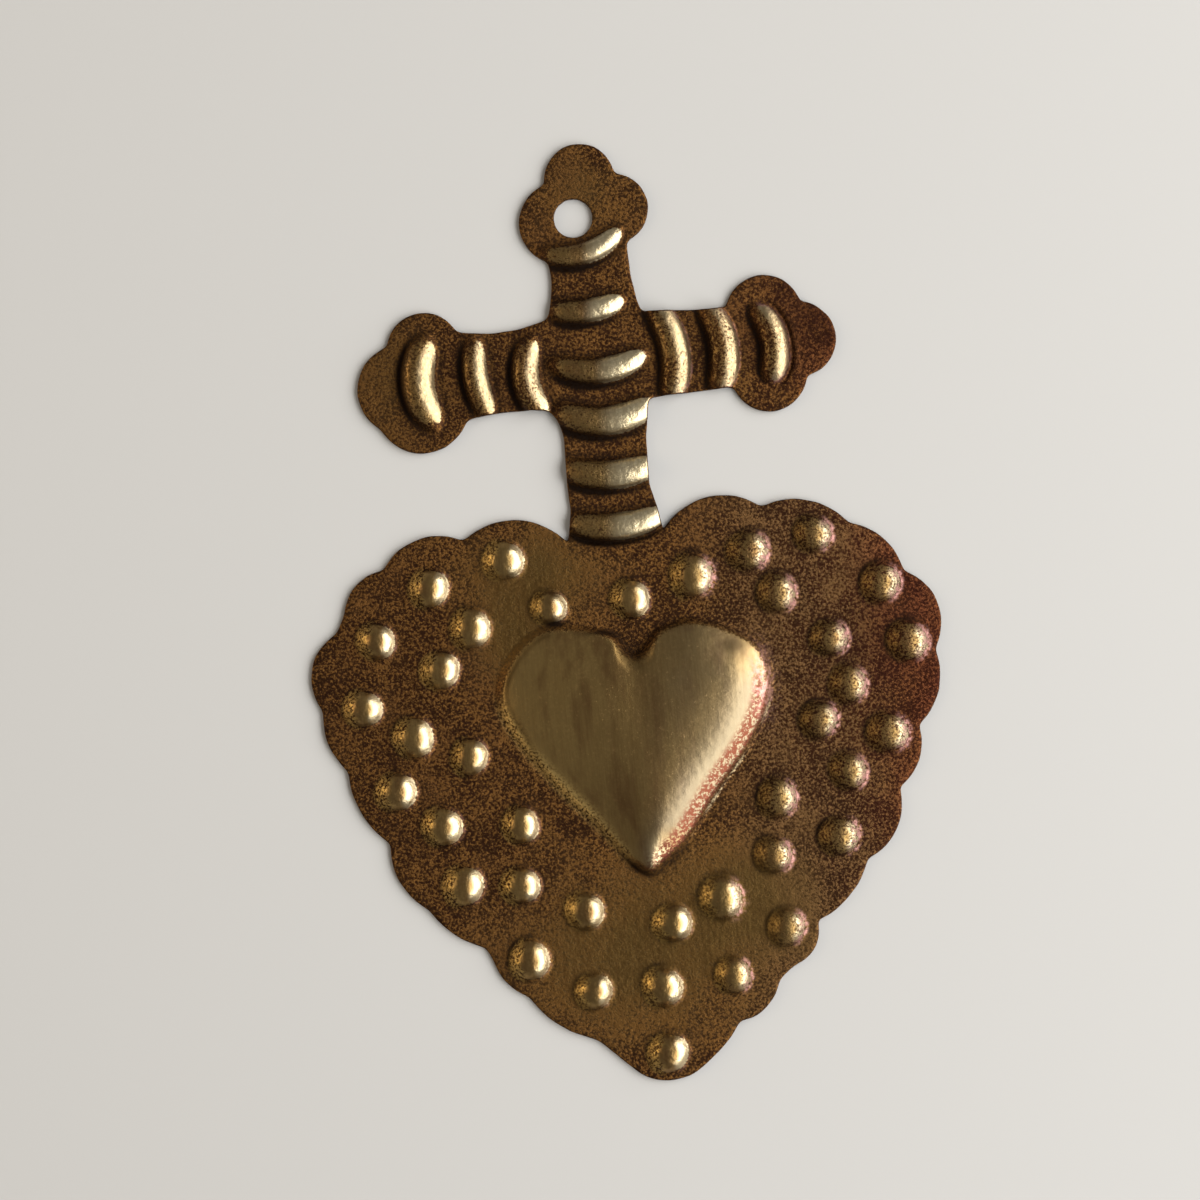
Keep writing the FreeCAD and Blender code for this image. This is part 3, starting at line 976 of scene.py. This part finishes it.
# Even patterns: size in mm of one speck or swell, steps of finer detail, and their strength.
# The patina's specks are about as large as the real ones.
SPECKLES = {
    "specks": (0.2174, 4.0, 0.72), "drift": (2.632, 2.0, 0.5), "copper_specks": (0.2778, 3.0, 0.7),
    "rose_specks": (0.4545, 3.0, 0.7), "dents": (0.5882, 3.0, 0.6),
}

# Drawn-out patterns: mm across and along one line. Brush lines stand a few times further apart
# than a cloth or brush leaves them, because real ones would be too fine to show.
BRUSHED = {"lines": (0.1667, 2.857), "streaks": (2.222, 14.29)}
brush_turn = math.radians(8)
brush_detail, brush_roughness = 3.0, 0.6

pattern = {}
for name, (size, detail, roughness) in SPECKLES.items():
    pattern[name] = node(tree, "ShaderNodeTexNoise", Vector=place, Scale=1 / size,
                         Detail=detail, Roughness=roughness).outputs["Fac"]
for name, (across, along) in BRUSHED.items():
    drawn_out = node(tree, "ShaderNodeMapping", Vector=place, Rotation=(0, 0, brush_turn),
                     Scale=(1 / across, 1 / along, 1)).outputs[0]
    pattern[name] = node(tree, "ShaderNodeTexNoise", Vector=drawn_out, Scale=1.0,
                         Detail=brush_detail, Roughness=brush_roughness).outputs["Fac"]

# Shares from 0 to 1 by which one tone lies over another. The marks of the mesh give most.
share = {}
for name in marks:
    share[name] = node(tree, "ShaderNodeAttribute", {"attribute_name": name}).outputs["Fac"]
share["lines"] = pattern["lines"]

# Patina: thicker where the specks drift together, thinner on the brushed patches
patina_drift = 0.18
patina_rubbed_away = -0.13
patina_span = (0.44, 0.64)
thick = node(tree, "ShaderNodeMath", {"operation": "MULTIPLY_ADD"},
             i0=pattern["drift"], i1=patina_drift, i2=pattern["specks"]).outputs[0]
thin = node(tree, "ShaderNodeMath", {"operation": "MULTIPLY_ADD"},
            i0=share["smooth"], i1=patina_rubbed_away, i2=thick).outputs[0]
share["patina"] = node(tree, "ShaderNodeMapRange", {"interpolation_type": "SMOOTHSTEP"}, Value=thin,
                       From_Min=patina_span[0], From_Max=patina_span[1]).outputs[0]
brushed_most = 0.88
share["brushed"] = node(tree, "ShaderNodeMath", {"operation": "MULTIPLY"},
                        i0=share["smooth"], i1=brushed_most).outputs[0]

# Bare metal, more of it where the flanks face the lamp, which is partly painted light: its rim
# breaks up along the specks of the patina
worn_break, worn_start = -1.6, 0.80
worn_span = (0.35, 0.75)
worn_edge = node(tree, "ShaderNodeMath", {"operation": "MULTIPLY_ADD"},
                 i0=pattern["specks"], i1=worn_break, i2=worn_start).outputs[0]
rubbed_and_lit = node(tree, "ShaderNodeMath", {"operation": "ADD"},
              i0=share["rubbed_and_lit"], i1=worn_edge).outputs[0]
share["worn_and_lit"] = node(tree, "ShaderNodeMapRange", {"interpolation_type": "SMOOTHSTEP"}, Value=rubbed_and_lit,
                     From_Min=worn_span[0], From_Max=worn_span[1]).outputs[0]
streak_span = (0.48, 0.78)
share["streaks"] = node(tree, "ShaderNodeMapRange", Value=pattern["streaks"],
                        From_Min=streak_span[0], From_Max=streak_span[1]).outputs[0]

# Marks that show only in specks: the pattern, and where its specks begin and are full
SPECKLED_MARKS = {
    "copper": ("copper_specks", 0.43, 0.51), "painted_ochre_glow": ("specks", 0.56, 0.43),
    "painted_glint": ("specks", 0.60, 0.46), "rose": ("rose_specks", 0.42, 0.60),
}
for name, (specks, begin, full) in SPECKLED_MARKS.items():
    speckled = node(tree, "ShaderNodeMapRange", Value=pattern[specks],
                    From_Min=begin, From_Max=full).outputs[0]
    share[name] = node(tree, "ShaderNodeMath", {"operation": "MULTIPLY"},
                       i0=speckled, i1=share[name]).outputs[0]

# The paler brass tones stand for painted highlights, the warm ochre and golden ones for painted
# glows and a painted glint, the greyish one tints the painted highlight of the raised heart's lit
# band and the near-black one is dirt and painted shade. The rosy and coppery ones, where they lie on
# flanks turned to the lamp, stand partly for reflection.
COLOURS = {
    "surface": "78532a", "red metal": "75442a", "tan metal": "745534",
    "patina": "301b0b", "red patina": "341509", "soot": "2b1409",
    "olive": "432f17", "light olive": "634e29", "bare": "775c34", "light bare": "9a7e4e",
    "painted_left_glow": "947747", "light golden": "b29258", "brown streak": "6d4d2e", "silvery": "685d4c",
    "pale": "b8a57c", "light pale": "dccda8", "copper": "5e3526", "painted_ochre_glow": "b08e50",
    "painted_glint": "e6bf74", "rose": "b4857c", "dirt_and_shade": "1a0f07",
}

# Each row lays the last tone over the first one by a share, and keeps the first one's name.
# The surface begins as the metal of the ground and takes every other tone in turn.
LAYERS = (
    ("surface", "reddened", "red metal"), ("surface", "tan", "tan metal"),
    ("patina", "reddened", "red patina"), ("surface", "patina", "patina"),
    ("surface", "sooty", "soot"),
    ("olive", "lines", "light olive"), ("surface", "brushed", "olive"),
    ("bare", "lines", "light bare"), ("painted_left_glow", "lines", "light golden"),
    ("bare", "painted_left_glow", "painted_left_glow"), ("bare", "streaks", "brown streak"),
    # Painted highlight: paler brass on the flanks that face the lamp, and a greyer tint on the lit
    # band of the raised heart
    ("pale", "lines", "light pale"), ("bare", "silvery", "silvery"), ("bare", "painted_highlight", "pale"),
    ("surface", "worn_and_lit", "bare"), ("surface", "copper", "copper"),
    ("surface", "painted_ochre_glow", "painted_ochre_glow"), ("surface", "painted_glint", "painted_glint"),
    ("surface", "rose", "rose"), ("surface", "dirt_and_shade", "dirt_and_shade"),
)
tone = {name: srgb(code) for name, code in COLOURS.items()}
for under, by, cover in LAYERS:
    tone[under] = node(tree, "ShaderNodeMix", {"data_type": "RGBA"},
                       i0=share[by], i6=tone[under], i7=tone[cover]).outputs[2]
tree.links.new(tone["surface"], shader.inputs["Base Color"])

# Gloss: dull patina, softly shining bare brass, duller again under dirt and painted shade
patina_roughness, bare_roughness, dirt_and_shade_dulls = 0.50, 0.30, 0.25
patina_metallic = 0.92
shine = node(tree, "ShaderNodeMapRange", Value=share["worn_and_lit"],
             To_Min=patina_roughness, To_Max=bare_roughness).outputs[0]
dull = node(tree, "ShaderNodeMath", {"operation": "MULTIPLY_ADD"},
            i0=share["dirt_and_shade"], i1=dirt_and_shade_dulls, i2=shine).outputs[0]
tree.links.new(dull, shader.inputs["Roughness"])
metal = node(tree, "ShaderNodeMapRange", Value=share["patina"],
             To_Min=1.0, To_Max=patina_metallic).outputs[0]
tree.links.new(metal, shader.inputs["Metallic"])

# Relief too fine for the mesh, in metres: the patina's grain, hammer dents and brush lines
grain_height, grain_strength = 0.000012, 0.8
dent_height = 0.00009
brush_height, brush_strength = 0.000012, 0.35
unworn = node(tree, "ShaderNodeMath", {"operation": "SUBTRACT"},
              i0=share["worn_and_lit"], i1=1.0).outputs[0]
grain = node(tree, "ShaderNodeMath", {"operation": "MULTIPLY"},
             i0=share["patina"], i1=unworn).outputs[0]
grainy = node(tree, "ShaderNodeBump", Height=grain, Distance=grain_height,
              Strength=grain_strength).outputs[0]
dented = node(tree, "ShaderNodeBump", Height=pattern["dents"], Distance=dent_height,
              Strength=share["dented"], Normal=grainy).outputs[0]
brushed = node(tree, "ShaderNodeBump", Height=pattern["lines"], Distance=brush_height,
               Strength=brush_strength, Normal=dented).outputs[0]
tree.links.new(brushed, shader.inputs["Normal"])
charm.data.materials.append(brass)

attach(charm, "root")
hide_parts("pressed_sheet")

# The table: pale matt paper, a hair under the charm, and large enough for the low views
table_reach = 0.45
table_drop = -0.00002
paper_colour = "bcbab6"
paper_roughness = 0.9
table_corners = [(x * table_reach, y * table_reach, 0)
                 for x, y in ((-1, -1), (1, -1), (1, 1), (-1, 1))]
floor_mesh = bpy.data.meshes.new("table_top")
floor_mesh.from_pydata(table_corners, [], [(0, 1, 2, 3)])
floor = bpy.data.objects.new("table_top", floor_mesh)
floor.location.z = table_drop
bpy.context.scene.collection.objects.link(floor)

# Uncoated paper, rolled smooth: an even, dull pale grey that shows nothing but soft shadow
paper = bpy.data.materials.new("pale_paper")
paper.use_nodes = True
paper_inputs = paper.node_tree.nodes["Principled BSDF"].inputs
paper_inputs["Base Color"].default_value = srgb(paper_colour)
paper_inputs["Roughness"].default_value = paper_roughness
floor_mesh.materials.append(paper)


def soft_window(name, azimuth, elevation, width, height, power, colour):
    """A large soft lamp that faces the charm from a direction, in degrees."""
    lamp = bpy.data.lights.new(name, "AREA")
    lamp.shape = "ELLIPSE"
    lamp.size = width
    lamp.size_y = height
    lamp.energy = power
    lamp.color = srgb(colour)[:3]
    placed = bpy.data.objects.new(name, lamp)
    turn, lift = math.radians(azimuth), math.radians(elevation)
    away = Vector((math.cos(turn) * math.cos(lift), math.sin(turn) * math.cos(lift), math.sin(lift)))
    placed.location = away * window_distance
    placed.rotation_euler = away.to_track_quat("Z", "Y").to_euler()
    placed.visible_camera = False
    bpy.context.scene.collection.objects.link(placed)


# The studio: a tall soft window on the right, a weak warm one low on the left, a dim room
window_distance = 0.5
soft_window("window_right", azimuth=photo_turn, elevation=36, width=1.15, height=0.50,
            power=7.2, colour="ffffff")
soft_window("window_left", azimuth=photo_turn + 172, elevation=20, width=0.45, height=0.30,
            power=0.9, colour="ffe8c4")

# Pale walls up to a low height all round, and a darker ceiling over them
wall_light, room_light = 0.62, 0.24
wall_top_span = (0.02, 0.20)
world = bpy.data.worlds.new("studio_room")
world.use_nodes = True
room = world.node_tree
direction = node(room, "ShaderNodeTexCoord").outputs["Generated"]
up = node(room, "ShaderNodeSeparateXYZ", Vector=direction).outputs["Z"]
level = node(room, "ShaderNodeMapRange", {"interpolation_type": "SMOOTHSTEP"}, Value=up,
             From_Min=wall_top_span[0], From_Max=wall_top_span[1],
             To_Min=wall_light, To_Max=room_light).outputs[0]
glow = room.nodes["Background"].inputs
room.links.new(level, glow["Strength"])
glow["Color"].default_value = (1, 1, 1, 1)
bpy.context.scene.world = world

# The camera looks straight down, turned a little, and takes in the photo's whole square
frame_width = 96.77
camera_middle = Vector((-1.721, 1.149, sheet_thickness))
field_of_view = math.radians(25)
film_width = 36
camera_data = bpy.data.cameras.new("camera")
camera_data.sensor_width = film_width
camera_data.lens = film_width / (2 * math.tan(field_of_view / 2))
camera = bpy.data.objects.new("camera", camera_data)
height_over = frame_width / 2 / math.tan(field_of_view / 2)
camera.location = (camera_middle + Vector((0, 0, height_over))) * MM
camera.rotation_euler = (0, 0, math.radians(photo_turn))
bpy.context.scene.collection.objects.link(camera)
bpy.context.scene.camera = camera
bpy.context.scene.view_settings.view_transform = "Standard"
